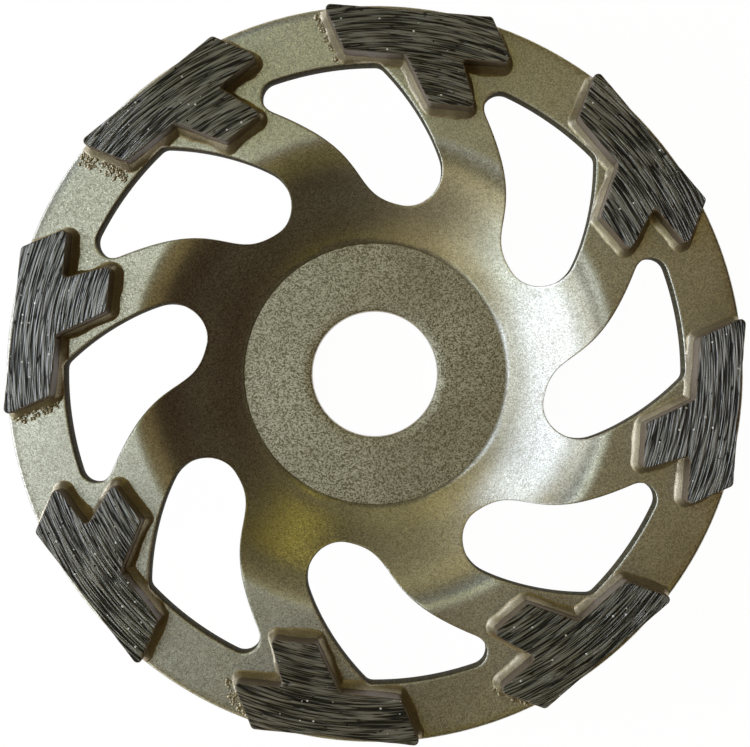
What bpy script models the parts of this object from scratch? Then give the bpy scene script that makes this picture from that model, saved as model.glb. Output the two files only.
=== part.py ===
"""Diamond cup wheel for an angle grinder, for taking down concrete and stone.

The cup is one piece of thick steel sheet, pressed and turned: a hub disc with the arbor bore, a dish
that rises in an S, and a flat ring. Eight curved windows go through the dish, and eight T-shaped
diamond segments are brazed on the ring. All sizes are in metres. The wheel lies on the back of its
hub, its axis is +Z, and the segments stand on the upper side.
"""

import math

import bmesh
import bpy
from mathutils import Matrix, Vector
from mathutils.geometry import interpolate_bezier

OBJECT_NAME = "diamond_cup_wheel"

# Cup, measured on the working side
RIM_RADIUS = 0.0625
RIM_CHAMFER = 0.0005
RING_HEIGHT = 0.0174
RING_INNER_RADIUS = 0.0420
SHEET_THICKNESS = 0.0050
HUB_THICKNESS = 0.0046
HUB_FACE_RADIUS = 0.0230
HUB_STEP_HEIGHT = 0.0006
HUB_STEP_RUN = 0.0003
BORE_RADIUS = 0.011115
BORE_CHAMFER = 0.00035

# S of the dish: a hollow arc at its foot, a straight cone, and a round shoulder under the ring
DISH_FOOT_SLOPE = math.radians(18.0)
DISH_FOOT_RADIUS = 0.0115
DISH_SHOULDER_RADIUS = 0.0114

# One window, in the sector whose middle is the +X axis: an outer arc on the wheel's axis that leaves a
# land of the ring outside it, a round tip, a side that swings in an S, a round inner end, a bowed side
# and a small heel corner. How far the swing keeps the direction of its ends is a share of its length.
SECTOR_COUNT = 8
RING_LAND = 0.0099
WINDOW_TIP_ANGLE = math.radians(18.3)
WINDOW_TIP_RADIUS = 0.0028
WINDOW_TIP_SWEEP = math.radians(139.0)
WINDOW_HEEL_ANGLE = math.radians(-1.0)
WINDOW_HEEL_RADIUS = 0.0019
WINDOW_END_DISTANCE = 0.0354
WINDOW_END_ANGLE = math.radians(-10.3)
WINDOW_END_RADIUS = 0.0057
WINDOW_END_START = math.radians(168.0)
WINDOW_SWING_AT_TIP = 0.73
WINDOW_SWING_AT_END = 0.37
WINDOW_SIDE_RADIUS = 0.0440

# The windows aren't quite even: how far round the wheel each one stands from its even place, in degrees
WINDOW_SHIFTS = (1.5, 1.3, 0.9, -0.1, 0.0, 0.1, 0.7, 1.4)

# One segment, on its chord: its outer corners stand a setback inside the rim
SEGMENT_ANGLE = math.radians(-5.5)
SEGMENT_SETBACK = 0.00028
SEGMENT_LENGTH = 0.0282
SEGMENT_HEIGHT = 0.0060
BAR_DEPTH = 0.0074
BAR_END_LEAN = math.radians(29.0)
STEM_LENGTH = 0.0078
STEM_ROOT_OFFSET = -0.0050
STEM_ROOT_WIDTH = 0.0094
STEM_TIP_OFFSET = -0.0088
STEM_TIP_WIDTH = 0.0078
SEGMENT_CORNER_RADIUS = 0.0008
SEGMENT_NOTCH_RADIUS = 0.0006
SEGMENT_EDGE = 0.0002

# The segments were set by hand: each one's shift round the wheel and its own turn, in degrees
SEGMENT_PLACES = (
    (1.3, -0.3),
    (1.5, -0.9),
    (0.3, 0.6),
    (-0.6, -0.3),
    (-1.2, 0.6),
    (-1.3, -0.7),
    (-0.5, 0.2),
    (0.5, 0.7),
)

# Braze filler: a thin bed under the segment, with a fillet that climbs round its foot
BRAZE_BED = 0.0004
BRAZE_LEG = 0.0010
BRAZE_CLIMB = 0.0007
BRAZE_LIP = 0.0002
CLEARANCE = 0.0003

# Facets
TURN_STEPS = 96
FOOT_STEPS = 4
SHOULDER_STEPS = 5
CORNER_STEPS = 3
SMOOTH_ANGLE = math.radians(30.0)

SECTOR = math.tau / SECTOR_COUNT


def clear_scene():
    """Take every object out of the scene."""
    for old in list(bpy.data.objects):
        bpy.data.objects.remove(old, do_unlink=True)


def make_collection(name):
    """Make a collection in the scene."""
    collection = bpy.data.collections.new(name)
    bpy.context.scene.collection.children.link(collection)
    return collection


def make_material(name, color, roughness, metallic):
    """Make a Principled material."""
    material = bpy.data.materials.new(name)
    material.use_nodes = True
    shader = material.node_tree.nodes["Principled BSDF"]
    shader.inputs["Base Color"].default_value = (*color, 1.0)
    shader.inputs["Roughness"].default_value = roughness
    shader.inputs["Metallic"].default_value = metallic
    material.diffuse_color = (*color, 1.0)
    return material


def polar(radius, angle):
    """Point at a radius and an angle round the origin."""
    return Vector((radius * math.cos(angle), radius * math.sin(angle)))


def arc(centre, radius, start, end, steps):
    """Points of an arc from one angle to another, both ends included."""
    return [centre + polar(radius, start + (end - start) * i / steps) for i in range(steps + 1)]


def joined(*runs):
    """Join runs of points into one outline, without the points that two runs share."""
    points = []
    for run in runs:
        for point in run:
            if not points or (point - points[-1]).length > 1e-6:
                points.append(point)
    if (points[0] - points[-1]).length <= 1e-6:
        points.pop()
    return points


def rounded_corners(corners, radii, steps):
    """Round the corners of a straight-sided outline, each with its own radius."""
    runs = []
    count = len(corners)
    for i, corner in enumerate(corners):
        to_last = (corners[i - 1] - corner).normalized()
        to_next = (corners[(i + 1) % count] - corner).normalized()
        half = 0.5 * to_last.angle(to_next)
        centre = corner + (to_last + to_next).normalized() * radii[i] / math.sin(half)
        start = corner + to_last * radii[i] / math.tan(half) - centre
        end = corner + to_next * radii[i] / math.tan(half) - centre
        start_angle = math.atan2(start.y, start.x)
        sweep = math.remainder(math.atan2(end.y, end.x) - start_angle, math.tau)
        runs.append(arc(centre, radii[i], start_angle, start_angle + sweep, steps))
    return joined(*runs)


def outward_offset(corners, distance):
    """Move the sides of a counter-clockwise outline outwards by a distance."""
    moved = []
    count = len(corners)
    for i, corner in enumerate(corners):
        before = (corner - corners[i - 1]).normalized()
        after = (corners[(i + 1) % count] - corner).normalized()
        out_before = Vector((before.y, -before.x))
        out_after = Vector((after.y, -after.x))
        bisector = (out_before + out_after).normalized()
        moved.append(corner + bisector * distance / bisector.dot(out_before))
    return moved


def prism(name, outline, low, high, collection):
    """Closed mesh of a flat outline, from one height to another."""
    curve = bpy.data.curves.new(name, "CURVE")
    curve.dimensions = "2D"
    curve.fill_mode = "BOTH"
    curve.extrude = 0.5 * (high - low)
    spline = curve.splines.new("POLY")
    spline.points.add(len(outline) - 1)
    for point, place in zip(spline.points, outline):
        point.co = (place.x, place.y, 0.0, 1.0)
    spline.use_cyclic_u = True
    flat = bpy.data.objects.new(name + "_outline", curve)
    flat.location.z = 0.5 * (low + high)
    collection.objects.link(flat)
    bpy.context.view_layer.update()
    evaluated = flat.evaluated_get(bpy.context.evaluated_depsgraph_get())
    mesh = bpy.data.meshes.new_from_object(evaluated)
    mesh.name = name
    solid = bpy.data.objects.new(name, mesh)
    solid.matrix_world = flat.matrix_world.copy()
    collection.objects.link(solid)
    bpy.data.objects.remove(flat)
    bpy.data.curves.remove(curve)
    shell = bmesh.new()
    shell.from_mesh(mesh)
    bmesh.ops.remove_doubles(shell, verts=shell.verts, dist=1e-6)
    bmesh.ops.dissolve_limit(shell, angle_limit=math.radians(0.1), verts=shell.verts, edges=shell.edges)
    bmesh.ops.recalc_face_normals(shell, faces=shell.faces)
    shell.to_mesh(mesh)
    shell.free()
    return solid


def make_cutter(solid):
    """Mark a solid as a cutter."""
    solid.hide_render = True
    solid.display_type = "WIRE"


def trim(target, cutter, operation):
    """Cut one solid out of another, with DIFFERENCE, or keep what lies in it, with INTERSECT."""
    boolean = target.modifiers.new(operation.lower() + "_" + cutter.name, "BOOLEAN")
    boolean.operation = operation
    boolean.solver = "EXACT"
    boolean.object = cutter


def dish_radii(run, rise):
    """Radii of the dish's hollow foot and of its shoulder, for the room between the hub and the ring.

    Where the room is too short for both arcs, they shrink by one share, until the cone between them is
    no steeper than a press can form.
    """
    steepest = math.radians(65.0)
    foot_need = DISH_FOOT_RADIUS * (1.0 - math.cos(steepest - DISH_FOOT_SLOPE))
    shoulder_need = DISH_SHOULDER_RADIUS * (1.0 - math.cos(steepest))
    room = run * math.sin(steepest) - rise * math.cos(steepest)
    share = min(1.0, room / (foot_need + shoulder_need))
    return DISH_FOOT_RADIUS * share, DISH_SHOULDER_RADIUS * share


def dish_profiles():
    """The dish's arcs on the working side, going in, and on the back, going out."""
    down = math.radians(-90.0)
    up = math.radians(90.0)
    foot = Vector((HUB_FACE_RADIUS + HUB_STEP_RUN, HUB_THICKNESS + HUB_STEP_HEIGHT))
    foot_radius, shoulder_radius = dish_radii(RING_INNER_RADIUS - foot.x, RING_HEIGHT - foot.y)
    into_air = Vector((-math.sin(DISH_FOOT_SLOPE), math.cos(DISH_FOOT_SLOPE)))
    foot_centre = foot + into_air * foot_radius
    shoulder_centre = Vector((RING_INNER_RADIUS, RING_HEIGHT - shoulder_radius))
    between = shoulder_centre - foot_centre
    lean = math.asin(min((foot_radius + shoulder_radius) / between.length, 1.0))
    slope = math.atan2(between.y, between.x) + lean
    back_radius = foot_radius + SHEET_THICKNESS
    seat_angle = math.asin(min(foot_centre.y / back_radius, 1.0))
    front = [
        *arc(shoulder_centre, shoulder_radius, up, up + slope, SHOULDER_STEPS),
        *arc(foot_centre, foot_radius, down + slope, down + DISH_FOOT_SLOPE, FOOT_STEPS),
    ]
    back = [
        *arc(foot_centre, back_radius, -seat_angle, down + slope, FOOT_STEPS),
        *arc(shoulder_centre, shoulder_radius - SHEET_THICKNESS, up + slope, up, SHOULDER_STEPS),
    ]
    return front, back


def cup_profile():
    """Half section of the cup, from the rim in over the working side and out again over the back."""
    dish_front, dish_back = dish_profiles()
    ring_back = RING_HEIGHT - SHEET_THICKNESS
    return [
        Vector((RIM_RADIUS, ring_back + RIM_CHAMFER)),
        Vector((RIM_RADIUS, RING_HEIGHT - RIM_CHAMFER)),
        Vector((RIM_RADIUS - RIM_CHAMFER, RING_HEIGHT)),
        *dish_front,
        Vector((HUB_FACE_RADIUS, HUB_THICKNESS)),
        Vector((BORE_RADIUS + BORE_CHAMFER, HUB_THICKNESS)),
        Vector((BORE_RADIUS, HUB_THICKNESS - BORE_CHAMFER)),
        Vector((BORE_RADIUS, BORE_CHAMFER)),
        Vector((BORE_RADIUS + BORE_CHAMFER, 0.0)),
        *dish_back,
        Vector((RIM_RADIUS - RIM_CHAMFER, ring_back)),
    ]


def turned_cup(collection, material):
    """The cup before its windows are cut: one profile turned about the wheel's axis."""
    shell = bmesh.new()
    ring = [shell.verts.new((point.x, 0.0, point.y)) for point in cup_profile()]
    for i, vertex in enumerate(ring):
        shell.edges.new((ring[i - 1], vertex))
    mesh = bpy.data.meshes.new("cup_body")
    shell.to_mesh(mesh)
    shell.free()
    cup = bpy.data.objects.new("cup_body", mesh)
    cup.data.materials.append(material)
    collection.objects.link(cup)
    turn = cup.modifiers.new("turn", "SCREW")
    turn.axis = "Z"
    turn.angle = math.tau
    turn.steps = TURN_STEPS
    turn.render_steps = TURN_STEPS
    turn.use_merge_vertices = True
    turn.merge_threshold = 0.00001
    turn.use_smooth_shade = True
    return cup


def window_outline():
    """Outline of the window in the first sector, counter-clockwise."""
    outer_radius = RIM_RADIUS - RING_LAND
    tip = polar(outer_radius - WINDOW_TIP_RADIUS, WINDOW_TIP_ANGLE)
    heel = polar(outer_radius - WINDOW_HEEL_RADIUS, WINDOW_HEEL_ANGLE)
    end = polar(WINDOW_END_DISTANCE, WINDOW_END_ANGLE)
    tip_stop = WINDOW_TIP_ANGLE + WINDOW_TIP_SWEEP
    quarter = math.radians(90.0)

    swing_start = tip + polar(WINDOW_TIP_RADIUS, tip_stop)
    swing_stop = end + polar(WINDOW_END_RADIUS, WINDOW_END_START)
    swing_length = (swing_stop - swing_start).length
    swing = interpolate_bezier(
        swing_start,
        swing_start + polar(WINDOW_SWING_AT_TIP * swing_length, tip_stop + quarter),
        swing_stop - polar(WINDOW_SWING_AT_END * swing_length, WINDOW_END_START + quarter),
        swing_stop,
        13,
    )

    # The bowed side is a wide arc that the round end and the heel both touch from inside
    across = heel - end
    to_end = WINDOW_SIDE_RADIUS - WINDOW_END_RADIUS
    to_heel = WINDOW_SIDE_RADIUS - WINDOW_HEEL_RADIUS
    along = (to_end**2 - to_heel**2 + across.length_squared) / (2.0 * across.length)
    aside = math.sqrt(to_end**2 - along**2)
    unit = across.normalized()
    side_centre = end + unit * along + Vector((-unit.y, unit.x)) * aside
    side_start = math.atan2(end.y - side_centre.y, end.x - side_centre.x) % math.tau
    side_stop = math.atan2(heel.y - side_centre.y, heel.x - side_centre.x) % math.tau

    return joined(
        arc(Vector((0.0, 0.0)), outer_radius, WINDOW_HEEL_ANGLE, WINDOW_TIP_ANGLE, 7),
        arc(tip, WINDOW_TIP_RADIUS, WINDOW_TIP_ANGLE, tip_stop, 6),
        [point.to_2d() for point in swing],
        arc(end, WINDOW_END_RADIUS, WINDOW_END_START, side_start, 8),
        arc(side_centre, WINDOW_SIDE_RADIUS, side_start, side_stop, 6),
        arc(heel, WINDOW_HEEL_RADIUS, side_stop, WINDOW_HEEL_ANGLE + math.tau, 3),
    )


def make_window_cutters(cutters):
    """One upright cutter for each window, longer than the cup is high."""
    first = prism("window_1", window_outline(), -SHEET_THICKNESS, RING_HEIGHT + SHEET_THICKNESS, cutters)
    windows = [first]
    for i in range(1, SECTOR_COUNT):
        window = bpy.data.objects.new("window_%d" % (i + 1), first.data)
        window.location = first.location
        cutters.objects.link(window)
        windows.append(window)
    for i, window in enumerate(windows):
        shift = WINDOW_SHIFTS[i % len(WINDOW_SHIFTS)]
        window.rotation_euler.z = i * SECTOR + math.radians(shift)
        make_cutter(window)
    return windows


def make_rim_guide(cutters):
    """Disc as wide as the flat of the ring, which the braze doesn't pass."""
    radius = RIM_RADIUS - RIM_CHAMFER
    bpy.ops.mesh.primitive_cylinder_add(vertices=TURN_STEPS, radius=radius, depth=2.0 * RING_HEIGHT)
    guide = bpy.context.object
    guide.name = "rim_guide"
    guide.location.z = RING_HEIGHT
    for collection in list(guide.users_collection):
        collection.objects.unlink(guide)
    cutters.objects.link(guide)
    make_cutter(guide)
    return guide


def chord_distance():
    """Distance from the wheel's axis to a segment's outer side."""
    corner_radius = RIM_RADIUS - SEGMENT_SETBACK
    return math.sqrt(corner_radius**2 - (0.5 * SEGMENT_LENGTH) ** 2)


def segment_outline(grow):
    """Outline of a segment on its chord, with its sides moved outwards by a distance."""
    outer = chord_distance()
    inner = outer - BAR_DEPTH
    tip = inner - STEM_LENGTH
    half = 0.5 * SEGMENT_LENGTH
    lean = BAR_DEPTH * math.tan(BAR_END_LEAN)
    corners = [
        Vector((outer, -half)),
        Vector((outer, half)),
        Vector((inner, half - lean)),
        Vector((inner, STEM_ROOT_OFFSET + 0.5 * STEM_ROOT_WIDTH)),
        Vector((tip, STEM_TIP_OFFSET + 0.5 * STEM_TIP_WIDTH)),
        Vector((tip, STEM_TIP_OFFSET - 0.5 * STEM_TIP_WIDTH)),
        Vector((inner, STEM_ROOT_OFFSET - 0.5 * STEM_ROOT_WIDTH)),
        Vector((inner, -half - lean)),
    ]
    at_corner = SEGMENT_CORNER_RADIUS + grow
    in_notch = SEGMENT_NOTCH_RADIUS
    radii = [at_corner, at_corner, at_corner, in_notch, at_corner, at_corner, in_notch, at_corner]
    return rounded_corners(outward_offset(corners, grow), radii, CORNER_STEPS)


def segment_place(index):
    """Transform from a segment on its chord to its place on the wheel."""
    shift, turn = SEGMENT_PLACES[index % len(SEGMENT_PLACES)]
    middle = Matrix.Translation((chord_distance() - BAR_DEPTH, STEM_ROOT_OFFSET, 0.0))
    own_turn = middle @ Matrix.Rotation(math.radians(turn), 4, "Z") @ middle.inverted()
    round_wheel = Matrix.Rotation(index * SECTOR + SEGMENT_ANGLE + math.radians(shift), 4, "Z")
    return round_wheel @ own_turn


def copies_on_ring(first, base_name, height):
    """Set a solid in the first segment's place and make its copies for the others."""
    home = first.users_collection[0]
    pieces = [first]
    for i in range(1, SECTOR_COUNT):
        pieces.append(first.copy())
        home.objects.link(pieces[i])
    for i, piece in enumerate(pieces):
        piece.name = "%s_%d" % (base_name, i + 1)
        piece.matrix_world = segment_place(i) @ Matrix.Translation((0.0, 0.0, height))
    return pieces


def make_segments(collection, material):
    """Eight T-shaped diamond segments, over their braze beds."""
    segment = prism("segment", segment_outline(0.0), 0.0, SEGMENT_HEIGHT, collection)
    segment.data.transform(segment.matrix_world)
    segment.matrix_world = Matrix.Identity(4)
    segment.data.materials.append(material)
    segment.data.shade_smooth()
    segment.data.set_sharp_from_angle(angle=SMOOTH_ANGLE)
    edge = segment.modifiers.new("edge", "BEVEL")
    edge.width = SEGMENT_EDGE
    edge.segments = 1
    edge.limit_method = "ANGLE"
    edge.angle_limit = math.radians(60.0)
    copies_on_ring(segment, "segment", RING_HEIGHT + 2.0 * CLEARANCE + BRAZE_BED)


def lofted_shell(sections):
    """Closed shell through outlines of equal point counts, each at its own height, capped at both ends."""
    shell = bmesh.new()
    loops = [[shell.verts.new((point.x, point.y, height)) for point in outline] for outline, height in sections]
    for near, far in zip(loops, loops[1:]):
        for i, corner in enumerate(near):
            shell.faces.new((near[i - 1], corner, far[i], far[i - 1]))
    shell.faces.new(loops[0])
    shell.faces.new(loops[-1])
    bmesh.ops.recalc_face_normals(shell, faces=shell.faces)
    return shell


def make_braze(collection, material, windows, rim_guide):
    """Eight trays of braze: a bed under each segment and a sloped fillet round its foot.

    Each one stops at the rim and at the edge of the window beside it.
    """
    foot = segment_outline(BRAZE_LEG)
    lip = segment_outline(CLEARANCE + BRAZE_LIP)
    wall = segment_outline(CLEARANCE)
    top = BRAZE_BED + CLEARANCE + BRAZE_CLIMB
    shell = lofted_shell([(foot, 0.0), (lip, top), (wall, top), (wall, BRAZE_BED)])
    mesh = bpy.data.meshes.new("braze")
    shell.to_mesh(mesh)
    shell.free()
    mesh.materials.append(material)
    mesh.shade_smooth()
    mesh.set_sharp_from_angle(angle=SMOOTH_ANGLE)
    braze = bpy.data.objects.new("braze", mesh)
    collection.objects.link(braze)
    for piece, window in zip(copies_on_ring(braze, "braze", RING_HEIGHT + CLEARANCE), windows):
        trim(piece, rim_guide, "INTERSECT")
        trim(piece, window, "DIFFERENCE")


def main():
    """Build the wheel."""
    clear_scene()
    parts = make_collection(OBJECT_NAME)
    cutters = make_collection("cutters")
    steel = make_material("bronze_painted_steel", (0.22, 0.18, 0.10), 0.42, 0.85)
    sintered = make_material("sintered_diamond_metal", (0.16, 0.155, 0.15), 0.55, 0.9)
    filler = make_material("painted_braze", (0.30, 0.26, 0.18), 0.5, 0.85)
    windows = make_window_cutters(cutters)
    cup = turned_cup(parts, steel)
    for window in windows:
        trim(cup, window, "DIFFERENCE")
    make_segments(parts, sintered)
    make_braze(parts, filler, windows, make_rim_guide(cutters))


main()
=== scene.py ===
"""Looks of a diamond cup wheel, in metres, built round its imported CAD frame.

The cup is one turned and pierced sheet, the eight segments carry the scratches of their last grinding,
and the braze runs in a lumpy fillet round each segment's foot. The wheel lies on the back of its hub and
the camera looks straight down on it.
"""

import logging
import math
import random
from bisect import bisect_right
from dataclasses import dataclass, field
from enum import Enum
from typing import Any, Iterable, Sequence

import bmesh
import bpy
from bmesh.types import BMEdge, BMesh, BMVert
from bpy.types import Material, Node, NodeSocket, NodeTree, Object
from mathutils import Matrix, Vector, noise
from mathutils.geometry import interpolate_bezier


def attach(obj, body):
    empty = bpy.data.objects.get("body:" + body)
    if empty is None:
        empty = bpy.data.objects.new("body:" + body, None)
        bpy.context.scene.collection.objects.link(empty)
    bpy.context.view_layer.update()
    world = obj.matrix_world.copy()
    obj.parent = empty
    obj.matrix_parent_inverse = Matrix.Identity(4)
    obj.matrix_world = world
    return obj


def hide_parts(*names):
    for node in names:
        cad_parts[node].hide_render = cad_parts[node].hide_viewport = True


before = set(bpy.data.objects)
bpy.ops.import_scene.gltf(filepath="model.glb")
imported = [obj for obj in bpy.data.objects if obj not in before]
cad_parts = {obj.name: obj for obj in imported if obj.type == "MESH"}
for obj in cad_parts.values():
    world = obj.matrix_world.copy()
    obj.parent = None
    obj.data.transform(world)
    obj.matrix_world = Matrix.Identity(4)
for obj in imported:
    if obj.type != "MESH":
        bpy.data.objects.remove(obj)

LOG = logging.getLogger("cup_wheel")
MM = 0.001
# Points of an outline nearer than the first, and of a mesh nearer than the second, are one point
SAME_POINT = 1e-7
TOUCH = 1e-6
SECTOR_COUNT = 8
SECTOR = math.tau / SECTOR_COUNT
IMAGE_WIDTH = 750
IMAGE_HEIGHT = 747


class Slot(Enum):
    """The record's material slots."""

    CUP = "cup_paint"
    SEGMENT = "diamond_segment"
    BRAZE = "braze_fillet"


# Plain helpers


def srgb(code: str) -> tuple[float, float, float, float]:
    """Turn an sRGB hex colour into the linear colour that a node takes.

    Args:
        code: six hex digits, after a hash.

    Returns:
        Red, green, blue and an alpha of one.
    """
    parts = [int(code[i : i + 2], 16) / 255.0 for i in (1, 3, 5)]
    linear = [c / 12.92 if c <= 0.04045 else ((c + 0.055) / 1.055) ** 2.4 for c in parts]
    return (linear[0], linear[1], linear[2], 1.0)


def feed(tree: NodeTree, node: Node, inputs: dict) -> None:
    """Fill a node's inputs.

    Args:
        tree: node tree that holds the node.
        node: the node whose inputs are filled.
        inputs: for each named or numbered input its value, the socket that feeds it, or a node that feeds
            it from the first output that it has in use.
    """
    for key, value in inputs.items():
        if isinstance(value, Node):
            value = next(socket for socket in value.outputs if socket.enabled)
        if isinstance(value, NodeSocket):
            tree.links.new(value, node.inputs[key])
        else:
            node.inputs[key].default_value = value


def add_node(tree: NodeTree, kind: str, inputs: dict | None = None, **settings: Any) -> Node:
    """Add a shader node with its settings and links.

    Args:
        tree: node tree that gets the node.
        kind: the node's type, without the words that all shader nodes start with.
        inputs: what its inputs get, as feed takes it.
        **settings: values of the node's own properties.

    Returns:
        The new node.
    """
    node = tree.nodes.new("ShaderNode" + kind)
    for name, value in settings.items():
        setattr(node, name, value)
    feed(tree, node, inputs or {})
    return node


def new_material(name: str) -> tuple[Material, NodeTree, NodeSocket]:
    """Start a material.

    Args:
        name: what it is called.

    Returns:
        The material, its node tree and the place of a point on the object.
    """
    material = bpy.data.materials.new(name)
    material.use_nodes = True
    tree = material.node_tree
    return material, tree, add_node(tree, "TexCoord").outputs["Object"]


def polar(radius: float, angle: float) -> Vector:
    """Point of the plane at a radius and an angle round the wheel's axis."""
    return Vector((radius * math.cos(angle), radius * math.sin(angle)))


def heading_of(way: Vector) -> float:
    """Angle of a way in the plane, from nought to a full turn."""
    return math.atan2(way.y, way.x) % math.tau


def arc(centre: Vector, radius: float, start: float, end: float, steps: int) -> list[Vector]:
    """Points of an arc, both ends included."""
    return [centre + polar(radius, start + (end - start) * i / steps) for i in range(steps + 1)]


def joined(runs: Iterable[Sequence[Vector]]) -> list[Vector]:
    """Join runs of points into one closed outline.

    Args:
        runs: the runs, each of which may start on the last point of the one before.

    Returns:
        The points, none of them twice.
    """
    points: list[Vector] = []
    for run in runs:
        for point in run:
            if not points or (point - points[-1]).length > SAME_POINT:
                points.append(point)
    if (points[0] - points[-1]).length <= SAME_POINT:
        points.pop()
    return points


def ring_of_edges(mesh: BMesh, points: Sequence[Vector]) -> list[BMVert]:
    """Add a closed loop of edges to a mesh, on the plane.

    Args:
        mesh: mesh that gets the loop.
        points: the loop's points.

    Returns:
        The loop's vertices, in order.
    """
    verts = [mesh.verts.new((p.x, p.y, 0.0)) for p in points]
    for i, vert in enumerate(verts):
        mesh.edges.new((verts[i - 1], vert))
    return verts


def extrude_edges(mesh: BMesh, edges: Sequence[BMEdge]) -> tuple[dict, list]:
    """Extrude edges in place.

    Args:
        mesh: mesh that holds the edges.
        edges: the edges to extrude.

    Returns:
        The new vertices, each with the old one that it came from, and the new far edges.
    """
    old = {vert for edge in edges for vert in edge.verts}
    made = bmesh.ops.extrude_edge_only(mesh, edges=list(edges))["geom"]
    new = [item for item in made if isinstance(item, BMVert)]
    source = {}
    for vert in new:
        for edge in vert.link_edges:
            if edge.other_vert(vert) in old:
                source[vert] = edge.other_vert(vert)
    # A dictionary keeps each edge once, in the order in which it is found
    far = dict.fromkeys(edge for vert in new for edge in vert.link_edges if edge.other_vert(vert) in source)
    return source, list(far)


def finish_piece(name: str, mesh: BMesh, materials: Sequence[Material], sharp: float) -> Object:
    """Turn a mesh into an object of the scene, smooth but for its sharp edges.

    Args:
        name: the object's name.
        mesh: its shape, which is freed.
        materials: its materials, in slot order.
        sharp: angle above which an edge stays sharp.

    Returns:
        The object, at the origin.
    """
    data = bpy.data.meshes.new(name)
    mesh.to_mesh(data)
    mesh.free()
    for material in materials:
        data.materials.append(material)
    data.shade_smooth()
    data.set_sharp_from_angle(angle=sharp)
    piece = bpy.data.objects.new(name, data)
    bpy.context.scene.collection.objects.link(piece)
    return piece


def declare(piece: Object, node: str) -> None:
    """Say what a piece stands for, and log it.

    Args:
        piece: the piece.
        node: the solid that it stands for.
    """
    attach(piece, "root")
    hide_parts(node)
    LOG.info("%s stands for %s: %d faces", piece.name, node, len(piece.data.polygons))


# Finishes


@dataclass(frozen=True)
class FlakePaint:
    """Baked bronze powder coat with metal flake over steel.

    To the eye it is a satin metal: each flake faces its own way, so the coat sparkles in fine grains, and
    the lacquer between them gives a broad soft highlight.
    """

    name: str = "bronze_flake_powder_coat"
    light: str = "#DFDAC7"
    dark: str = "#675F48"
    # Colour of the pigment's clouds, and of the painted shade on the hub
    stain_and_shade: str = "#766B50"
    metallic: float = 0.86
    roughness: float = 0.33
    flake: float = 0.18 * MM
    flake_tilt: float = 0.05
    pigment: float = 0.3 * MM
    cloud: float = 18.0 * MM
    peel: float = 0.06
    peel_wave: float = 0.9 * MM
    peel_height: float = 0.05 * MM
    dish_grain: float = 0.5
    hub_grain: float = 1.5
    # Share of that colour laid on the hub face: painted shade in its recess
    hub_painted_shade: float = 0.22
    hub_dullness: float = 0.08
    hub_radius: float = 23.1 * MM

    def build(self) -> Material:
        """Make the material."""
        material, tree, place = new_material(self.name)

        # Flakes: each cell of the pattern is one flake, with its own shade and its own tilt
        flakes = add_node(tree, "TexVoronoi", {"Vector": place, "Scale": 1.0 / self.flake}, feature="F1")
        shade = add_node(tree, "SeparateColor", {"Color": flakes.outputs["Color"]})
        # Finer pigment between the flakes
        pigment = add_node(
            tree, "TexNoise", {"Vector": place, "Scale": 1.0 / self.pigment, "Detail": 2.0, "Roughness": 0.7}
        )
        flecks = add_node(tree, "Math", {0: shade.outputs["Red"], 1: 0.9}, operation="MULTIPLY")
        spread = add_node(tree, "Math", {0: pigment, 1: 0.3, 2: flecks}, operation="MULTIPLY_ADD")
        tone = add_node(tree, "MapRange", {"Value": spread, "From Min": 0.25, "From Max": 0.95})

        # The hub's face is turned, so the coat is duller and its grains are bolder there than on the dish
        flat = add_node(tree, "VectorMath", {0: place, 1: (1.0, 1.0, 0.0)}, operation="MULTIPLY")
        radius = add_node(tree, "VectorMath", {0: flat}, operation="LENGTH")
        on_hub = add_node(tree, "Math", {0: radius, 1: self.hub_radius}, operation="LESS_THAN")
        strength = add_node(
            tree, "MapRange", {"Value": on_hub, "To Min": self.dish_grain, "To Max": self.hub_grain}
        )
        middle = add_node(tree, "Math", {0: tone, 1: 0.5}, operation="SUBTRACT")
        grain = add_node(tree, "Math", {0: middle, 1: strength, 2: 0.5}, operation="MULTIPLY_ADD")
        shades = {"Factor": grain, 6: srgb(self.dark), 7: srgb(self.light)}
        colour = add_node(tree, "Mix", shades, data_type="RGBA")

        # The pigment also drifts in wide clouds, and on the hub a fixed share of the same colour is painted
        # shade of the recess
        drift = add_node(tree, "TexNoise", {"Vector": place, "Scale": 1.0 / self.cloud, "Detail": 2.0})
        limits = {"Value": drift, "From Min": 0.45, "From Max": 0.75, "To Max": 0.35}
        clouded = add_node(tree, "MapRange", limits)
        amount = add_node(tree, "Math", {0: on_hub, 1: self.hub_painted_shade, 2: clouded}, operation="MULTIPLY_ADD")
        shades = {"Factor": amount, 6: colour, 7: srgb(self.stain_and_shade)}
        stained_and_shaded = add_node(tree, "Mix", shades, data_type="RGBA")

        terms = {0: on_hub, 1: self.hub_dullness, 2: self.roughness - 0.06}
        dull = add_node(tree, "Math", terms, operation="MULTIPLY_ADD")
        terms = {0: shade.outputs["Green"], 1: 0.12, 2: dull}
        rough = add_node(tree, "Math", terms, operation="MULTIPLY_ADD")

        # Every flake lies at its own tilt, which turns some to the light and some away from it
        lean = add_node(
            tree, "VectorMath", {0: flakes.outputs["Color"], 1: (0.5, 0.5, 0.5)}, operation="SUBTRACT"
        )
        lean = add_node(tree, "VectorMath", {0: lean, "Scale": self.flake_tilt}, operation="SCALE")
        normal = add_node(tree, "NewGeometry").outputs["Normal"]
        turned = add_node(tree, "VectorMath", {0: normal, 1: lean}, operation="ADD")
        level = add_node(tree, "VectorMath", {0: turned}, operation="NORMALIZE")
        # Orange peel of the baked coat
        waves = add_node(tree, "TexNoise", {"Vector": place, "Scale": 1.0 / self.peel_wave, "Detail": 1.0})
        relief = {"Height": waves, "Strength": self.peel, "Distance": self.peel_height, "Normal": level}
        peel = add_node(tree, "Bump", relief)

        look = {"Base Color": stained_and_shaded, "Metallic": self.metallic, "Roughness": rough, "Normal": peel}
        feed(tree, tree.nodes["Principled BSDF"], look)
        return material


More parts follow.
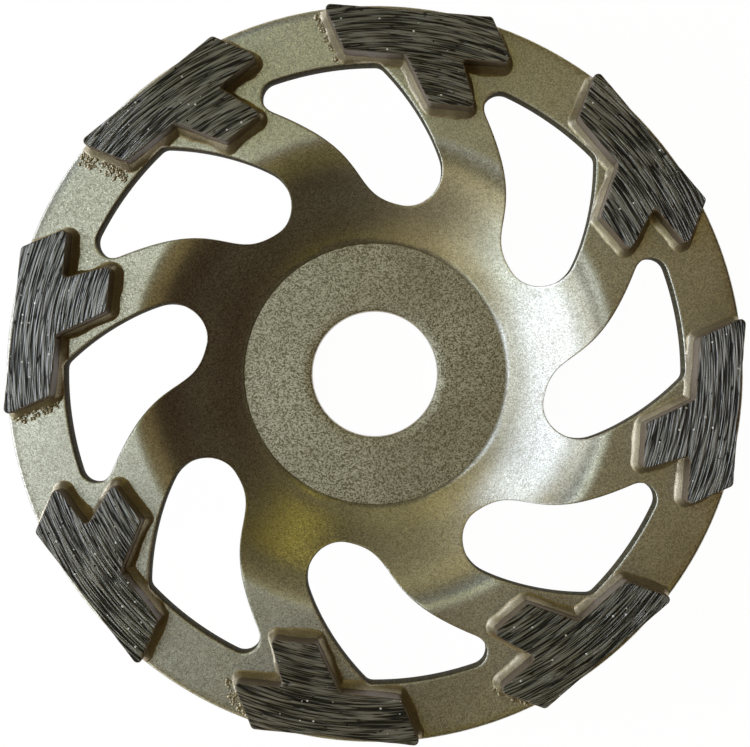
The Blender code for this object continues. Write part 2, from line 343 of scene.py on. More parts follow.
@dataclass(frozen=True)
class CutEdge:
    """Cut wall of a window, where the powder coat is thin over the steel's scale.

    To the eye it is darker and duller than the coat on the faces, with fine drag lines down the wall; the
    darker colour is painted shade on the walls.
    """

    name: str = "cut_steel_with_painted_shade"
    # The dark shades of the wall are painted shade
    light: str = "#5A5238"
    dark: str = "#2E2919"
    metallic: float = 0.0
    specular: float = 0.12
    roughness: float = 0.8
    line_gap: float = 0.4 * MM
    line_depth: float = 0.06 * MM

    def build(self) -> Material:
        """Make the material."""
        material, tree, place = new_material(self.name)
        # Drag lines that run the whole height of the wall
        drawn = add_node(tree, "VectorMath", {0: place, 1: (1.0, 1.0, 0.06)}, operation="MULTIPLY")
        fineness = {"Scale": 1.0 / self.line_gap, "Detail": 3.0, "Roughness": 0.6}
        lines = add_node(tree, "TexNoise", {"Vector": drawn, **fineness})
        tone = add_node(tree, "MapRange", {"Value": lines, "From Min": 0.35, "From Max": 0.65})
        shades = {"Factor": tone, 6: srgb(self.dark), 7: srgb(self.light)}
        rough = {0: lines, 1: 0.2, 2: self.roughness - 0.1}
        relief = {"Height": lines, "Strength": 0.6, "Distance": self.line_depth}
        look = {
            "Base Color": add_node(tree, "Mix", shades, data_type="RGBA"),
            "Metallic": self.metallic,
            "Specular IOR Level": self.specular,
            "Roughness": add_node(tree, "Math", rough, operation="MULTIPLY_ADD"),
            "Normal": add_node(tree, "Bump", relief),
        }
        feed(tree, tree.nodes["Principled BSDF"], look)
        return material


@dataclass(frozen=True)
class SinteredMetal:
    """Sintered metal powder that holds diamond grit, ground on the wheel.

    To the eye it is dark bare metal with long scratches round the wheel's axis, bright where a scratch
    turns its wall to the light, with small dark pores and here and there a pale grain.
    """

    name: str = "sintered_diamond_metal"
    crest: str = "#8C8981"
    # Groove colour: partly grinding dust, partly painted shade in the scratches
    groove_dust_and_shade: str = "#2A2824"
    pore_and_pit_shade: str = "#15130F"
    grit: str = "#E4E2DA"
    metallic: float = 0.85
    roughness: float = 0.33
    stretch: float = 0.8
    mean_radius: float = 55.0 * MM
    hair_width: float = 0.1 * MM
    hair_length: float = 5.0 * MM
    hair_depth: float = 0.1 * MM
    spot_gap: float = 1.1 * MM

    def build(self) -> Material:
        """Make the material."""
        material, tree, place = new_material(self.name)

        # Hair scratches run round the axis: the pattern is squeezed across them and drawn out along them
        flat = add_node(tree, "VectorMath", {0: place, 1: (1.0, 1.0, 0.0)}, operation="MULTIPLY")
        radius = add_node(tree, "VectorMath", {0: flat}, operation="LENGTH")
        heading = add_node(tree, "VectorMath", {0: flat}, operation="NORMALIZE")
        around = add_node(
            tree, "VectorMath", {0: heading, "Scale": self.mean_radius / self.hair_length}, operation="SCALE"
        )
        parts = add_node(tree, "SeparateXYZ", {0: around})
        across = add_node(tree, "Math", {0: radius, 1: 1.0 / self.hair_width}, operation="MULTIPLY")
        swept = add_node(tree, "CombineXYZ", {"X": parts.outputs["X"], "Y": parts.outputs["Y"], "Z": across})
        hairs = add_node(tree, "TexNoise", {"Vector": swept, "Scale": 1.0, "Detail": 2.0, "Roughness": 0.6})

        # The mesh says how deep each point of the top lies in a scratch: crests are rubbed bright, and
        # deeper points darken towards the groove colour, partly dark grinding dust and partly painted shade
        # in the grooves
        depth = add_node(tree, "Attribute", attribute_name="scratch_depth").outputs["Fac"]
        shade = add_node(tree, "Math", {0: hairs, 1: 0.9, 2: depth}, operation="MULTIPLY_ADD")
        tone = add_node(tree, "MapRange", {"Value": shade, "From Min": 0.6, "From Max": 1.1})
        shades = {"Factor": tone, 6: srgb(self.crest), 7: srgb(self.groove_dust_and_shade)}
        metal = add_node(tree, "Mix", shades, data_type="RGBA")
        # Painted shade: the deepest torn pits darken to the pore colour
        pitted = add_node(tree, "MapRange", {"Value": depth, "From Min": 1.1, "From Max": 1.6})
        worn = add_node(tree, "Mix", {"Factor": pitted, 6: metal, 7: srgb(self.pore_and_pit_shade)}, data_type="RGBA")

        # Pores up to 0.4 mm wide, and a few diamond grains of the same size
        cells = add_node(tree, "TexVoronoi", {"Vector": place, "Scale": 1.0 / self.spot_gap}, feature="F1")
        kind = add_node(tree, "SeparateColor", {"Color": cells.outputs["Color"]})
        sizes = {"Value": kind.outputs["Red"], "From Min": 0.5, "From Max": 0.75, "To Max": 0.16}
        size = add_node(tree, "MapRange", sizes)
        inside = add_node(tree, "Math", {0: cells.outputs["Distance"], 1: size}, operation="LESS_THAN")
        which = add_node(tree, "Math", {0: kind.outputs["Green"], 1: 0.48}, operation="GREATER_THAN")
        shades = {"Factor": which, 6: srgb(self.pore_and_pit_shade), 7: srgb(self.grit)}
        spot = add_node(tree, "Mix", shades, data_type="RGBA")
        colour = add_node(tree, "Mix", {"Factor": inside, 6: worn, 7: spot}, data_type="RGBA")
        # A diamond grain is no metal: it is pale from every side
        grain = add_node(tree, "Math", {0: inside, 1: which}, operation="MULTIPLY")
        bare = add_node(
            tree, "Math", {0: grain, 1: -self.metallic, 2: self.metallic}, operation="MULTIPLY_ADD"
        )

        # Scratches too fine to model stretch the gloss across them
        up = (0.0, 0.0, 1.0)
        along = add_node(tree, "VectorMath", {0: up, 1: heading}, operation="CROSS_PRODUCT")
        rough = {0: hairs, 1: 0.2, 2: self.roughness - 0.1}
        relief = {"Height": hairs, "Strength": 0.9, "Distance": self.hair_depth}
        look = {
            "Base Color": colour,
            "Metallic": bare,
            "Roughness": add_node(tree, "Math", rough, operation="MULTIPLY_ADD"),
            "Anisotropic": self.stretch,
            "Tangent": add_node(tree, "VectorMath", {0: along, 1: up}, operation="CROSS_PRODUCT"),
            "Normal": add_node(tree, "Bump", relief),
        }
        feed(tree, tree.nodes["Principled BSDF"], look)
        return material


@dataclass(frozen=True)
class PaleTable:
    """White lacquered board, which is white to the camera and in the metal, and keeps a soft shadow."""

    name: str = "white_table"
    light: str = "#D3D1CB"
    dark: str = "#C9C7C1"
    glow_share: float = 0.93
    glow: float = 1.05

    def build(self) -> Material:
        """Make the material."""
        material, tree, place = new_material(self.name)
        tree.nodes.remove(tree.nodes["Principled BSDF"])
        path = add_node(tree, "LightPath").outputs
        seen = path["Is Camera Ray"]
        for ray in ("Is Glossy Ray", "Is Transmission Ray"):
            seen = add_node(tree, "Math", {0: seen, 1: path[ray]}, operation="MAXIMUM")
        share = add_node(tree, "Math", {0: seen, 1: self.glow_share}, operation="MULTIPLY")
        cloud = add_node(tree, "TexNoise", {"Vector": place, "Scale": 4.0})
        shades = {"Factor": cloud, 6: srgb(self.dark), 7: srgb(self.light)}
        tint = add_node(tree, "Mix", shades, data_type="RGBA")
        matt = add_node(tree, "BsdfDiffuse", {"Color": tint})
        white = add_node(tree, "Emission", {"Color": srgb("#FFFFFF"), "Strength": self.glow})
        mixed = add_node(tree, "MixShader", {0: share, 1: matt, 2: white})
        feed(tree, tree.nodes["Material Output"], {"Surface": mixed})
        return material


# The cup


@dataclass
class DishSection:
    """Half section of the cup: the height of its working side and of its back at each radius."""

    rim_radius: float = 62.5 * MM
    rim_rounding: float = 0.5 * MM
    ring_height: float = 17.4 * MM
    ring_inner_radius: float = 42.0 * MM
    sheet_thickness: float = 5.0 * MM
    hub_thickness: float = 4.6 * MM
    hub_face_radius: float = 23.0 * MM
    step_height: float = 0.6 * MM
    step_run: float = 0.3 * MM
    bore_radius: float = 11.115 * MM
    bore_rounding: float = 0.35 * MM
    foot_slope: float = math.radians(18.0)
    foot_radius: float = 11.5 * MM
    shoulder_radius: float = 11.4 * MM
    swing_foot: float = math.radians(27.0)
    foot_centre: Vector = field(init=False)
    shoulder_centre: Vector = field(init=False)
    slope: float = field(init=False)
    dish_start: float = field(init=False)

    def __post_init__(self) -> None:
        """Find the centres of the dish's two arcs and the slope of the cone between them."""
        self.dish_start = self.hub_face_radius + self.step_run
        foot = Vector((self.dish_start, self.hub_thickness + self.step_height))
        into_air = Vector((-math.sin(self.foot_slope), math.cos(self.foot_slope)))
        self.foot_centre = foot + into_air * self.foot_radius
        self.shoulder_centre = Vector((self.ring_inner_radius, self.ring_height - self.shoulder_radius))
        between = self.shoulder_centre - self.foot_centre
        lean = math.asin((self.foot_radius + self.shoulder_radius) / between.length)
        self.slope = math.atan2(between.y, between.x) + lean

    def front(self, radius: float) -> float:
        """Height of the working side.

        The dish is one S there, whose bend changes evenly from the hub to the ring, so that it shines
        without bands. The solid's two arcs and its cone follow this S to within 0.8 mm.

        Args:
            radius: distance from the wheel's axis.

        Returns:
            The height above the back of the hub.
        """
        if radius <= self.hub_face_radius + TOUCH:
            return self.hub_thickness
        if radius < self.dish_start:
            return self.hub_thickness + self.step_height * (radius - self.hub_face_radius) / self.step_run
        foot = self.hub_thickness + self.step_height
        run = self.ring_inner_radius - self.dish_start
        way = min(1.0, (radius - self.dish_start) / run)
        lead = math.tan(self.swing_foot) * run / 3.0
        swing = self.ring_height - foot - lead
        return foot + lead * (1.0 - (1.0 - way) ** 3) + 0.5 * swing * (1.0 - math.cos(math.pi * way))

    def back(self, radius: float) -> float:
        """Height of the back: the solid's arc, cone and arc, a sheet's thickness below its working side.

        Args:
            radius: distance from the wheel's axis.

        Returns:
            The height above the back of the hub.
        """
        if radius <= self.foot_centre.x:
            return 0.0
        foot = self.foot_radius + self.sheet_thickness
        shoulder = self.shoulder_radius - self.sheet_thickness
        cone_low = self.foot_centre.x + foot * math.sin(self.slope)
        cone_high = self.shoulder_centre.x - shoulder * math.sin(self.slope)
        if radius <= cone_low:
            height = self.foot_centre.y - math.sqrt(foot**2 - (radius - self.foot_centre.x) ** 2)
        elif radius < cone_high:
            low = self.foot_centre.y - foot * math.cos(self.slope)
            height = low + (radius - cone_low) * math.tan(self.slope)
        elif radius < self.shoulder_centre.x:
            height = self.shoulder_centre.y + math.sqrt(shoulder**2 - (radius - self.shoulder_centre.x) ** 2)
        else:
            height = self.shoulder_centre.y + shoulder
        return max(0.0, height)


@dataclass
class WindowShape:
    """Outline of one window, in the sector whose middle is the +X axis."""

    outer_radius: float = 52.6 * MM
    tip_angle: float = math.radians(18.3)
    tip_radius: float = 2.8 * MM
    tip_sweep: float = math.radians(139.0)
    heel_angle: float = math.radians(-1.0)
    heel_radius: float = 1.9 * MM
    end_distance: float = 35.4 * MM
    end_angle: float = math.radians(-10.3)
    end_radius: float = 5.7 * MM
    end_start: float = math.radians(168.0)
    swing_at_tip: float = 0.73
    swing_at_end: float = 0.37
    side_radius: float = 44.0 * MM
    shifts: tuple[float, ...] = (1.5, 1.3, 0.9, -0.1, 0.0, 0.1, 0.7, 1.4)
    # Point that sees the whole outline
    middle: Vector = field(default_factory=lambda: polar(46.5 * MM, math.radians(3.0)))
    outline: list[Vector] = field(init=False)
    headings: list[float] = field(init=False)

    def __post_init__(self) -> None:
        """Work out the outline and the heading of each of its points from the middle."""
        found = [(heading_of(point - self.middle), point) for point in self.curve(12)]
        found.sort(key=lambda pair: pair[0])
        self.headings = [pair[0] for pair in found]
        self.outline = [pair[1] for pair in found]

    def curve(self, steps: int) -> list[Vector]:
        """Follow the outline: an outer arc, a round tip, a swinging side, a round end and a bowed side.

        Args:
            steps: fineness of its smallest arc.

        Returns:
            The points, counter-clockwise.
        """
        tip = polar(self.outer_radius - self.tip_radius, self.tip_angle)
        heel = polar(self.outer_radius - self.heel_radius, self.heel_angle)
        end = polar(self.end_distance, self.end_angle)
        tip_stop = self.tip_angle + self.tip_sweep
        quarter = math.radians(90.0)
        swing_start = tip + polar(self.tip_radius, tip_stop)
        swing_stop = end + polar(self.end_radius, self.end_start)
        length = (swing_stop - swing_start).length
        swing = interpolate_bezier(
            swing_start,
            swing_start + polar(self.swing_at_tip * length, tip_stop + quarter),
            swing_stop - polar(self.swing_at_end * length, self.end_start + quarter),
            swing_stop,
            8 * steps,
        )
        across = heel - end
        to_end = self.side_radius - self.end_radius
        to_heel = self.side_radius - self.heel_radius
        along = (to_end**2 - to_heel**2 + across.length_squared) / (2.0 * across.length)
        aside = math.sqrt(to_end**2 - along**2)
        unit = across.normalized()
        centre = end + unit * along + Vector((-unit.y, unit.x)) * aside
        side_start, side_stop = heading_of(end - centre), heading_of(heel - centre)
        return joined(
            [
                arc(Vector((0.0, 0.0)), self.outer_radius, self.heel_angle, self.tip_angle, 6 * steps),
                arc(tip, self.tip_radius, self.tip_angle, tip_stop, 3 * steps),
                [point.to_2d() for point in swing],
                arc(end, self.end_radius, self.end_start, side_start, 4 * steps),
                arc(centre, self.side_radius, side_start, side_stop, 6 * steps),
                arc(heel, self.heel_radius, side_stop, self.heel_angle + math.tau, 2 * steps),
            ]
        )

    def edge_towards(self, point: Vector) -> Vector:
        """Point of the outline that lies towards a point, seen from the middle.

        Args:
            point: any point of the plane but the middle.

        Returns:
            The point of the outline.
        """
        away = point - self.middle
        after = bisect_right(self.headings, heading_of(away)) % len(self.headings)
        first, second = self.outline[after - 1], self.outline[after]
        side = second - first
        cross = away.x * side.y - away.y * side.x
        share = ((first.x - self.middle.x) * side.y - (first.y - self.middle.y) * side.x) / cross
        return self.middle + away * share

    def holds(self, point: Vector, margin: float) -> bool:
        """Whether a point of the first sector lies in the window, or nearer than a margin to it."""
        return (point - self.middle).length < (self.edge_towards(point) - self.middle).length + margin


@dataclass
class CupBody:
    """The pressed and turned steel cup with its eight windows, under bronze flake paint."""

    section: DishSection
    window: WindowShape
    paint: Material
    cut_edge: Material
    seam_angle: float = math.radians(-21.5)
    land_radius: float = 56.0 * MM
    edge_margin: float = 0.6 * MM
    edge_rounding: float = 0.22 * MM
    step_rounding: float = 0.45 * MM
    round_over: float = math.radians(38.0)
    stay_sharp: float = math.radians(40.0)
    wall_rise: float = 0.3
    blend_share: float = 0.044
    land_rings: tuple[float, ...] = (58.5 * MM, 61.0 * MM)
    hub_rings: tuple[float, ...] = (21.0 * MM, 17.0 * MM, 13.0 * MM)
    spoke_cuts: int = 11
    land_steps: int = 72
    seam_steps: int = 64
    foot_steps: int = 32

    def sector_border(self) -> list[Vector]:
        """Border of one sector's pierced part.

        Returns:
            Its points, counter-clockwise from its outer corner.
        """
        low, high = self.seam_angle, self.seam_angle + SECTOR
        inner, outer = self.section.dish_start, self.land_radius
        origin = Vector((0.0, 0.0))
        seam_radii = [outer + (inner - outer) * i / self.seam_steps for i in range(self.seam_steps + 1)]
        return joined(
            [
                arc(origin, outer, low, high, self.land_steps),
                [polar(radius, high) for radius in seam_radii],
                arc(origin, inner, high, low, self.foot_steps),
                [polar(radius, low) for radius in reversed(seam_radii)],
            ]
        )

    def pierced_sector(self) -> BMesh:
        """Lay out the flat sheet of one sector, from the window's edge to the sector's border.

        Returns:
            The sheet, with its rings inside and outside the pierced part.
        """
        mesh = bmesh.new()
        border = self.sector_border()
        edges_at = [self.window.edge_towards(point) for point in border]
        loop = ring_of_edges(mesh, edges_at)
        target = dict(zip(loop, zip(edges_at, border)))
        near, near_edges = extrude_edges(mesh, mesh.edges[:])
        for vert, old in near.items():
            start, stop = target[old]
            spot = start + (stop - start).normalized() * self.edge_margin
            vert.co = (spot.x, spot.y, 0.0)
        far, _ = extrude_edges(mesh, near_edges)
        spokes = []
        for vert, old in far.items():
            stop = target[near[old]][1]
            vert.co = (stop.x, stop.y, 0.0)
            spokes += [edge for edge in vert.link_edges if edge.other_vert(vert) is old]
        bmesh.ops.subdivide_edges(mesh, edges=spokes, cuts=self.spoke_cuts, use_grid_fill=True)
        section = self.section
        self.add_rings(mesh, self.land_radius, (*self.land_rings, section.rim_radius))
        hub_rings = (section.hub_face_radius, *self.hub_rings, section.bore_radius)
        self.add_rings(mesh, section.dish_start, hub_rings)
        return mesh

    def add_rings(self, mesh: BMesh, start: float, radii: Sequence[float]) -> None:
        """Extrude the sheet's arc ring by ring.

        Args:
            mesh: the sheet.
            start: radius of the arc.
            radii: the rings' radii, in order.
        """
        edges = [
            edge
            for edge in mesh.edges
            if edge.is_boundary and all(abs(vert.co.xy.length - start) < TOUCH for vert in edge.verts)
        ]
        for radius in radii:
            source, edges = extrude_edges(mesh, edges)
            for vert in source:
                vert.co.xy = vert.co.xy.normalized() * radius

    def window_shift(self, angle: float) -> float:
        """How far round the sheet stands at an angle, so that each window comes to its own place.

        Args:
            angle: angle round the axis in the even pattern.

        Returns:
            The shift, the same over all of a window and blended in the strip between two.
        """
        strip = self.blend_share
        shifts = self.window.shifts
        turns = (angle - self.seam_angle) / SECTOR
        index = math.floor(turns)
        part = turns - index
        here = shifts[index % SECTOR_COUNT]
        if part < strip:
            other, weight = shifts[(index - 1) % SECTOR_COUNT], 0.5 - 0.5 * part / strip
        elif part > 1.0 - strip:
            other, weight = shifts[(index + 1) % SECTOR_COUNT], 0.5 - 0.5 * (1.0 - part) / strip
        else:
            other, weight = here, 0.0
        return math.radians(here + (other - here) * weight)

    def build(self) -> Object:
        """Turn the sector round, give the sheet its form and thickness, and round its edges.

        Returns:
            The cup.
        """
        mesh = self.pierced_sector()
        bmesh.ops.spin(
            mesh,
            geom=mesh.verts[:] + mesh.edges[:] + mesh.faces[:],
            cent=(0.0, 0.0, 0.0),
            axis=(0.0, 0.0, 1.0),
            angle=math.tau - SECTOR,
            steps=SECTOR_COUNT - 1,
            use_duplicate=True,
        )
        bmesh.ops.remove_doubles(mesh, verts=mesh.verts, dist=TOUCH)
        for vert in mesh.verts:
            radius = vert.co.xy.length
            angle = math.atan2(vert.co.y, vert.co.x)
            vert.co.xy = polar(radius, angle + self.window_shift(angle))
        bmesh.ops.recalc_face_normals(mesh, faces=mesh.faces)
        front = list(mesh.verts)
        made = bmesh.ops.extrude_face_region(mesh, geom=mesh.faces[:])["geom"]
        for vert in made:
            if isinstance(vert, BMVert):
                vert.co.z = self.section.back(vert.co.xy.length)
        for vert in front:
            vert.co.z = self.section.front(vert.co.xy.length)
        bmesh.ops.recalc_face_normals(mesh, faces=mesh.faces)
        self.round_edges(mesh)
        mesh.normal_update()
        # Upright window walls get the cut-edge material, whose dark colour is painted shade
        for face in mesh.faces:
            radius = face.calc_center_median().xy.length
            upright = abs(face.normal.z) < self.wall_rise
            if upright and self.section.dish_start + 0.7 * MM < radius < self.section.rim_radius - 1.0 * MM:
                face.material_index = 1
        return finish_piece("cup_shell", mesh, [self.paint, self.cut_edge], self.stay_sharp)

    def round_edges(self, mesh: BMesh) -> None:
        """Round the edges of the rim, the bore, the windows and the step round the hub.

        Args:
            mesh: the cup.
        """
        section = self.section
        near = 0.1 * MM
        widths = (section.rim_rounding, section.bore_rounding, self.edge_rounding, self.step_rounding)
        groups: dict[float, list] = {width: [] for width in widths}
        for edge in mesh.edges:
            if len(edge.link_faces) != 2 or edge.calc_face_angle() < self.round_over:
                continue
            radius = max(vert.co.xy.length for vert in edge.verts)
            if section.hub_face_radius - near < radius < section.dish_start - near:
                continue
            if section.bore_radius + near < radius < section.dish_start + near:
                width = self.step_rounding
            elif radius > section.rim_radius - 10.0 * TOUCH:
                width = section.rim_rounding
            elif radius < section.bore_radius + 10.0 * TOUCH:
                width = section.bore_rounding
            else:
                width = self.edge_rounding
            groups[width].append(edge)
        for width, edges in groups.items():
            bmesh.ops.bevel(
                mesh,
                geom=edges,
                offset=width,
                affect="EDGES",
                segments=3,
                profile=0.5,
                material=-1,
                clamp_overlap=True,
            )


# The segments and their braze


@dataclass
class SegmentShape:
    """Outline of a T-shaped segment on its chord, and its place on the ring."""

    rim_radius: float = 62.5 * MM
    setback: float = 0.28 * MM
    length: float = 28.2 * MM
    bar_depth: float = 7.4 * MM
    bar_end_lean: float = math.radians(29.0)
    stem_length: float = 7.8 * MM
    stem_root_offset: float = -5.0 * MM
    stem_root_width: float = 9.4 * MM
    stem_tip_offset: float = -8.8 * MM
    stem_tip_width: float = 7.8 * MM
    corner_radius: float = 0.8 * MM
    notch_radius: float = 0.6 * MM
    notches: tuple[int, int] = (3, 6)
    angle: float = math.radians(-5.5)
    places: tuple[tuple[float, float], ...] = (
        (1.3, -0.3),
        (1.5, -0.9),
        (0.3, 0.6),
        (-0.6, -0.3),
        (-1.2, 0.6),
        (-1.3, -0.7),
        (-0.5, 0.2),
        (0.5, 0.7),
    )

    def chord_distance(self) -> float:
        """Distance from the wheel's axis to the outer side."""
        return math.sqrt((self.rim_radius - self.setback) ** 2 - (0.5 * self.length) ** 2)

    def outline(self, grow: float, steps: int) -> list[Vector]:
        """Outline with its sides moved outwards.

        Args:
            grow: how far the sides move.
            steps: fineness of a rounded corner.

        Returns:
            The points, counter-clockwise.
        """
        outer = self.chord_distance()
        inner = outer - self.bar_depth
        tip = inner - self.stem_length
        half = 0.5 * self.length
        lean = self.bar_depth * math.tan(self.bar_end_lean)
        corners = [
            Vector((outer, -half)),
            Vector((outer, half)),
            Vector((inner, half - lean)),
            Vector((inner, self.stem_root_offset + 0.5 * self.stem_root_width)),
            Vector((tip, self.stem_tip_offset + 0.5 * self.stem_tip_width)),
            Vector((tip, self.stem_tip_offset - 0.5 * self.stem_tip_width)),
            Vector((inner, self.stem_root_offset - 0.5 * self.stem_root_width)),
            Vector((inner, -half - lean)),
        ]
        count = len(corners)
        moved = []
        for i, corner in enumerate(corners):
            before = (corner - corners[i - 1]).normalized()
            after = (corners[(i + 1) % count] - corner).normalized()
            out_before = Vector((before.y, -before.x))
            bisector = (out_before + Vector((after.y, -after.x))).normalized()
            moved.append(corner + bisector * grow / bisector.dot(out_before))
        runs = []
        for i, corner in enumerate(moved):
            radius = max(self.corner_radius + grow, 0.1 * MM)
            if i in self.notches:
                radius = self.notch_radius - min(grow, 0.0)
            to_last = (moved[i - 1] - corner).normalized()
            to_next = (moved[(i + 1) % count] - corner).normalized()
            half_angle = 0.5 * to_last.angle(to_next)
            centre = corner + (to_last + to_next).normalized() * radius / math.sin(half_angle)
            start = corner + to_last * radius / math.tan(half_angle) - centre
            stop = corner + to_next * radius / math.tan(half_angle) - centre
            first = math.atan2(start.y, start.x)
            sweep = math.remainder(math.atan2(stop.y, stop.x) - first, math.tau)
            runs.append(arc(centre, radius, first, first + sweep, steps))
        return joined(runs)

    def dense_outline(self, grow: float, spacing: float) -> list[Vector]:
        """Outline with added points along its straight sides.

        Args:
            grow: how far the sides move outwards.
            spacing: how far apart two points are at most.

        Returns:
            The points, counter-clockwise.
        """
        points = self.outline(grow, 5)
        dense = []
        for i, point in enumerate(points):
            last = points[i - 1]
            parts = max(1, math.ceil((point - last).length / spacing))
            dense += [last.lerp(point, j / parts) for j in range(parts)]
        return dense

    def place(self, index: int) -> Matrix:
        """Find a segment's own place.

        Args:
            index: which segment, from nought.

        Returns:
            The transform from the chord on +X.
        """
        shift, turn = self.places[index]
        root = Matrix.Translation((self.chord_distance() - self.bar_depth, self.stem_root_offset, 0.0))
        own_turn = root @ Matrix.Rotation(math.radians(turn), 4, "Z") @ root.inverted()
        return Matrix.Rotation(index * SECTOR + self.angle + math.radians(shift), 4, "Z") @ own_turn


@dataclass
class DiamondSegments:
    """The eight sintered segments: scratched on top, painted on their flanks."""

    shape: SegmentShape
    metal: Material
    flank: Material
    foot_height: float = 17.5 * MM
    top_height: float = 24.4 * MM
    edge: float = 0.14 * MM
    scratch_depth: float = 0.15 * MM
    across_step: float = 0.055 * MM
    along_step: float = 0.42 * MM
    outline_step: float = 0.45 * MM
    first_cut: float = 0.37
    mean_radius: float = 55.0 * MM
    flank_rows: int = 5
    flank_waves: float = 1.6 * MM
    flank_roughness: float = 0.05 * MM
    fine: tuple[float, float] = (0.14 * MM, 3.2 * MM)
    broad: tuple[float, float] = (0.22 * MM, 5.5 * MM)
    pits: tuple[float, float] = (0.30 * MM, 1.1 * MM)
    uncut: float = 0.25
    broad_share: float = 0.3
    fine_share: float = 0.8
    pit_limit: float = 0.85
    pit_share: float = 5.0

    def scratched_top(self) -> BMesh:
        """Cut a flat top into narrow strips round the wheel's axis, for the scratches to move.

        Returns:
            The top, unrolled: its radius lies along X and its way round the wheel along Y.
        """
        mesh = bmesh.new()
        points = []
        for point in self.shape.dense_outline(-self.edge, self.outline_step):
            points.append(Vector((point.length, math.atan2(point.y, point.x) * self.mean_radius)))
        ring_of_edges(mesh, points)
        bmesh.ops.contextual_create(mesh, geom=mesh.edges[:])
        lows = [min(p[k] for p in points) for k in (0, 1)]
        highs = [max(p[k] for p in points) for k in (0, 1)]
        for k, step in ((0, self.across_step), (1, self.along_step)):
            normal = Vector((1.0, 0.0, 0.0)) if k == 0 else Vector((0.0, 1.0, 0.0))
            for i in range(1, int((highs[k] - lows[k]) / step) + 1):
                bmesh.ops.bisect_plane(
                    mesh,
                    geom=mesh.verts[:] + mesh.edges[:] + mesh.faces[:],
                    dist=SAME_POINT,
                    plane_co=normal * (lows[k] + (i - self.first_cut) * step),
                    plane_no=normal,
                )
        return mesh

    def scratch(self, row: int, along: float, seed: float) -> float:
        """Depth of one scratch line at a place along it.

        Args:
            row: which line it is.
            along: the place, in lengths of line.
            seed: number that makes the pattern its own.

        Returns:
            The depth, from nought to one.
        """
        place = along + 9.0 * noise.cell(Vector((row + 0.5, 0.5, seed)))
        step = math.floor(place)
        part = place - step
        first = noise.cell(Vector((row + 0.5, step + 0.5, seed + 3.0)))
        second = noise.cell(Vector((row + 0.5, step + 1.5, seed + 3.0)))
        return 0.5 + 0.5 * (first + (second - first) * part * part * (3.0 - 2.0 * part))

    def scratches(self, across: float, along: float, size: tuple[float, float], seed: float) -> float:
        """Depth between two neighbouring scratch lines.

        Args:
            across: radius of the point.
            along: way round the wheel to the point.
            size: width and length of a line.
            seed: number that makes the pattern its own.

        Returns:
            The depth, from nought to one.
        """
        row = math.floor(across / size[0])
        part = across / size[0] - row
        first, second = (self.scratch(row + k, along / size[1], seed) for k in (0, 1))
        return first + (second - first) * part * part * (3.0 - 2.0 * part)

    def wear(self, across: float, along: float, seed: float) -> float:
        """How deep a point of the top lies in the scratches, where one is a common scratch.

        Args:
            across: radius of the point.
            along: way round the wheel to the point.
            seed: number that makes one segment's scratches its own.

        Returns:
            The depth, over one in a torn pit.
        """
        spot = across + 0.15 * MM * noise.noise(Vector((along / (14.0 * MM), across / (9.0 * MM), seed)))
        fine = self.scratches(spot, along, self.fine, seed + 0.5)
        broad = self.scratches(spot, along, self.broad, seed + 20.5)
        pit = self.scratches(spot, along, self.pits, seed + 40.5)
        # Between the scratches the metal stays level
        cut = max(0.0, fine - self.uncut) / (1.0 - self.uncut)
        torn = max(0.0, pit - self.pit_limit)
        return self.fine_share * cut + self.broad_share * broad + self.pit_share * torn

    def build(self) -> list[Object]:
        """Make the eight segments from one flat top.

        Returns:
            The segments, in order.
        """
        top = self.scratched_top()
        pieces = []
        for index in range(SECTOR_COUNT):
            mesh = top.copy()
            depth = mesh.verts.layers.float.new("scratch_depth")
            for vert in mesh.verts:
                across, along = vert.co.x, vert.co.y
                vert[depth] = self.wear(across, along, 60.0 * (index + 1))
                vert.co.xy = polar(across, along / self.mean_radius)
                vert.co.z = self.top_height - self.scratch_depth * vert[depth]
            bmesh.ops.recalc_face_normals(mesh, faces=mesh.faces)
            self.add_flanks(mesh, 5.9 * index)
            bmesh.ops.transform(mesh, matrix=self.shape.place(index), verts=mesh.verts)
            name = "segment_block_%d" % (index + 1)
            pieces.append(finish_piece(name, mesh, [self.metal, self.flank], math.radians(50.0)))
        top.free()
        return pieces

    def add_flanks(self, mesh: BMesh, seed: float) -> None:
        """Extrude the worn edge and the rough flanks down from the top, and close the foot.

        Args:
            mesh: the top.
            seed: number that makes one segment's flanks its own.
        """
        tops = set(mesh.faces)
        edges = [edge for edge in mesh.edges if edge.is_boundary]
        outward = {}
        for edge in edges:
            middle = 0.5 * (edge.verts[0].co + edge.verts[1].co)
            inward = edge.link_faces[0].calc_center_median() - middle
            side = edge.verts[1].co - edge.verts[0].co
            normal = Vector((side.y, -side.x, 0.0)).normalized()
            if normal.dot(inward) > 0.0:
                normal.negate()
            for vert in edge.verts:
                outward[vert] = outward.get(vert, Vector()) + normal
        for vert in outward:
            outward[vert].normalize()
        flank_top = self.top_height - self.edge
        drop = flank_top - self.foot_height
        levels = [(self.edge, flank_top)]
        levels += [(0.0, flank_top - drop * i / self.flank_rows) for i in range(1, self.flank_rows + 1)]
        for move, height in levels:
            source, edges = extrude_edges(mesh, edges)
            for vert, old in source.items():
                outward[vert] = outward[old]
                spot = Vector((vert.co.x, vert.co.y, height)) / self.flank_waves
                rough = noise.noise(spot + Vector((0.0, 0.0, seed)))
                vert.co += outward[old] * (move + self.flank_roughness * rough)
                vert.co.z = height
        bmesh.ops.contextual_create(mesh, geom=edges)
        for face in mesh.faces:
            face.material_index = 0 if face in tops else 1
        bmesh.ops.recalc_face_normals(mesh, faces=mesh.faces)


class End(Enum):
    """Which end of a segment, as the sign of its side of the chord's middle."""

    FORWARD = 1.0
    REAR = -1.0


@dataclass(frozen=True)
class SpatterZone:
    """Strip of braze grains beside one end of a segment."""

    segment: int
    end: End
    width: float
    grains: int


